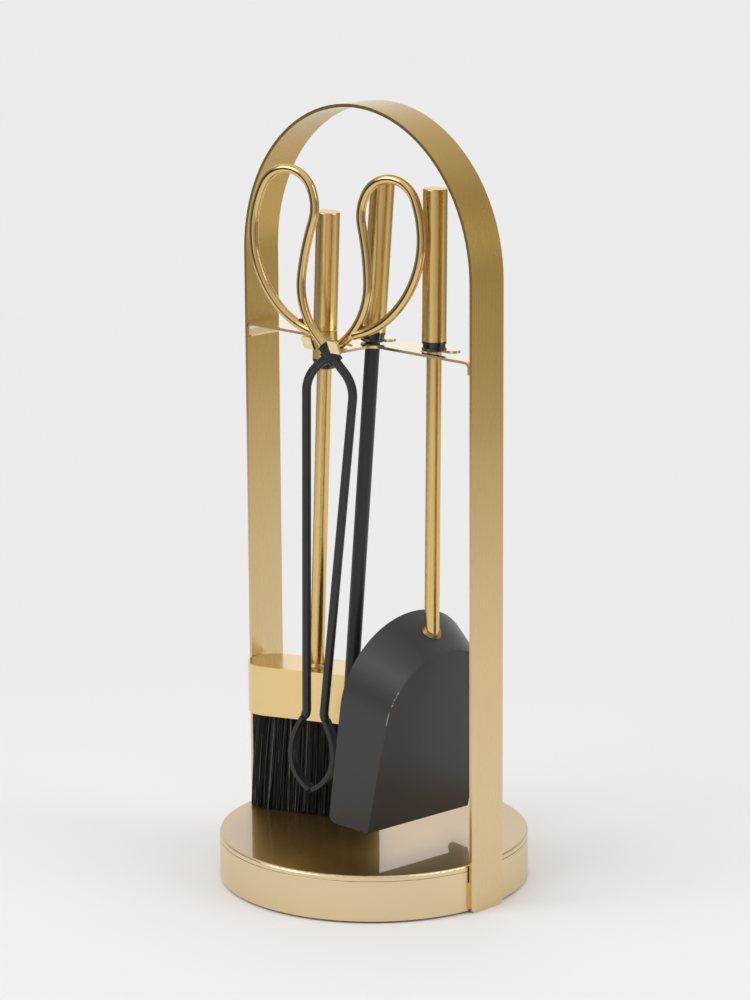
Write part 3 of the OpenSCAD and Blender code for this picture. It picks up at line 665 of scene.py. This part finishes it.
class HEARTH_OT_stage(bpy.types.Operator):
    """Make the floor, the even room light, the lamps and the camera"""
    bl_idname = "hearth.stage"
    bl_label = "Stage"

    HEADING = math.radians(45.685)
    PITCH = 0.226855
    ROLL = 0.005893
    BEARING = 0.798228   # of the camera's place about the stand, in radians
    DISTANCE = 2.61973
    HEIGHT = 0.890835
    LENS = 132.3136
    FLOOR_RADIUS = 1.7
    FLOOR_FADES = (0.20, 0.75)  # distances over which the floor turns to an even tone
    LID_FROM, LID_TO = 0.40, 0.80  # how far up the bands give way to the lid
    LID = (0.85, 0.85, 0.85)
    KEY_LAMP = ((-0.6, -2.2, 2.2), (0, 0, 0.25), (1.6, 1.6))  # place, target and size
    FILL_LAMP = ((2.4, 0.9, 1.5), (0, 0, 0.3), (1.4, 1.4))
    FILL_SHARE = 0.6  # of the key lamp's power
    # What metal mirrors at each angle to the right of the camera: degrees and level.
    # The levels are set for this camera. They are no measured room.
    BANDS = (
        (-180, 1.00), (-160, 0.85), (-140, 0.45), (-126, 0.27), (-104, 0.33), (-88, 0.19),
        (-76, 0.06), (-62, 0.08), (-52, 0.14), (-44, 0.44), (-36, 0.80), (-24, 0.72),
        (-8, 0.57), (8, 0.48), (20, 0.42), (32, 0.30), (42, 0.25), (52, 0.32), (64, 0.48),
        (76, 0.62), (88, 0.54), (102, 0.36), (118, 0.24), (136, 0.35), (155, 0.85),
        (180, 1.00),
    )

    def floor(self):
        """A pale disc. It keeps the shadow near the stand and fades into the backdrop."""
        bpy.ops.mesh.primitive_circle_add(
            vertices=96, radius=self.FLOOR_RADIUS, fill_type="NGON", location=(0, 0, 0))
        floor = bpy.context.object
        floor.name = "floor"
        made = Finish("floor_pale")
        made.feed("Base Color", tuple(light().paper))
        made.feed("Roughness", 0.75)
        made.feed("Specular IOR Level", 0.15)
        far = made.steps(made.length(made.place()), *self.FLOOR_FADES)
        seen = made.node("ShaderNodeLightPath")
        glow = made.node("ShaderNodeEmission", {}, {
            "Color": tint(light().floor), "Strength": 1.0})
        mixed = made.node("ShaderNodeMixShader", {}, {0: seen * far, 1: made.shader, 2: glow})
        made.show(mixed)
        floor.data.materials.append(made.material)

    def room(self):
        """An even pale room. What metal mirrors runs round it in soft bands."""
        world = bpy.data.worlds.new("room")
        bpy.context.scene.world = world
        world.use_nodes = True
        made = Nodes(world.node_tree)
        path = made.node("ShaderNodeLightPath").socket.node
        camera, glossy, through = (Wire(made, path.outputs[name]) for name in (
            "Is Camera Ray", "Is Glossy Ray", "Is Transmission Ray"))
        even = made.node("ShaderNodeBackground", {}, {
            "Color": (1, 1, 1, 1), "Strength": light().room})
        pale = made.node("ShaderNodeBackground", {}, {
            "Color": tint(light().floor), "Strength": 1.0})
        where = made.node("ShaderNodeMapping", {"vector_type": "VECTOR"}, {
            "Vector": made.node("ShaderNodeTexCoord"), "Rotation": (0, 0, -self.HEADING)})
        right, away, up = made.parts(where)
        around = made.node("ShaderNodeMath", {"operation": "ARCTAN2"},
                           {0: right, 1: away * -1.0})
        bands = made.node("ShaderNodeValToRGB", {"ramp_interpolation": "CARDINAL", "stops": [
            ((degrees + 180) / 360, (level, level, level)) for degrees, level in self.BANDS]},
            {0: around * (1 / (2 * math.pi)) + 0.5})
        level = made.blend(made.steps(up, self.LID_FROM, self.LID_TO), bands, self.LID)
        walls = made.node("ShaderNodeBackground", {}, {"Color": level, "Strength": 1.0})
        shown = made.node("ShaderNodeMixShader", {}, {0: camera + through, 1: even, 2: pale})
        mirrored = made.node("ShaderNodeMixShader", {}, {0: glossy, 1: shown, 2: walls})
        made.node("ShaderNodeOutputWorld", {}, {0: mirrored})

    def lamp(self, name, power, place, target, size):
        data = bpy.data.lights.new(name, "AREA")
        data.shape = "RECTANGLE"
        data.size, data.size_y = size
        data.energy = power
        lamp = bpy.data.objects.new(name, data)
        bpy.context.scene.collection.objects.link(lamp)
        lamp.location = place
        lamp.rotation_euler = (Vector(target) - Vector(place)).to_track_quat("-Z", "Y").to_euler()

    def camera(self):
        far, bearing = self.DISTANCE, self.BEARING
        place = Vector((far * math.sin(bearing), -far * math.cos(bearing), self.HEIGHT))
        data = bpy.data.cameras.new("camera")
        data.lens = self.LENS
        data.clip_end = 100.0
        camera = bpy.data.objects.new("camera", data)
        bpy.context.scene.collection.objects.link(camera)
        camera.matrix_world = camera_matrix(place, self.HEADING, self.PITCH, self.ROLL)
        bpy.context.scene.camera = camera

    def execute(self, context):
        self.floor()
        self.room()
        power = light().key
        self.lamp("key_lamp", power, *self.KEY_LAMP)
        self.lamp("fill_lamp", power * self.FILL_SHARE, *self.FILL_LAMP)
        self.camera()
        bpy.context.scene.view_settings.view_transform = "Standard"
        return {"FINISHED"}


class HEARTH_PT_panel(bpy.types.Panel):
    """Lists the settings and the steps of the tool set"""
    bl_idname = "HEARTH_PT_panel"
    bl_label = "Fireplace Tool Set"
    bl_space_type = "VIEW_3D"
    bl_region_type = "UI"
    bl_category = "Hearth"

    def draw(self, context):
        layout = self.layout
        for group in (colours(), sizes(), light()):
            box = layout.box()
            for name in group.__annotations__:
                box.prop(group, name)
        for step in STEPS:
            layout.operator(step.bl_idname)


GROUPS = (
    ("hearth_colours", HearthColours),
    ("hearth_sizes", HearthSizes),
    ("hearth_light", HearthLight),
)
STEPS = (HEARTH_OT_base, HEARTH_OT_arch, HEARTH_OT_hanger, HEARTH_OT_handles,
         HEARTH_OT_shovel_pan, HEARTH_OT_poker, HEARTH_OT_tongs, HEARTH_OT_brush,
         HEARTH_OT_stage)


def register():
    for name, group in GROUPS:
        bpy.utils.register_class(group)
        setattr(bpy.types.Scene, name, bpy.props.PointerProperty(type=group))
    for step in STEPS:
        bpy.utils.register_class(step)
    bpy.utils.register_class(HEARTH_PT_panel)


def unregister():
    bpy.utils.unregister_class(HEARTH_PT_panel)
    for step in reversed(STEPS):
        bpy.utils.unregister_class(step)
    for name, group in reversed(GROUPS):
        delattr(bpy.types.Scene, name)
        bpy.utils.unregister_class(group)


def main():
    register()
    for step in STEPS:
        group, name = step.bl_idname.split(".")
        getattr(getattr(bpy.ops, group), name)()


if __name__ == "__main__":
    main()
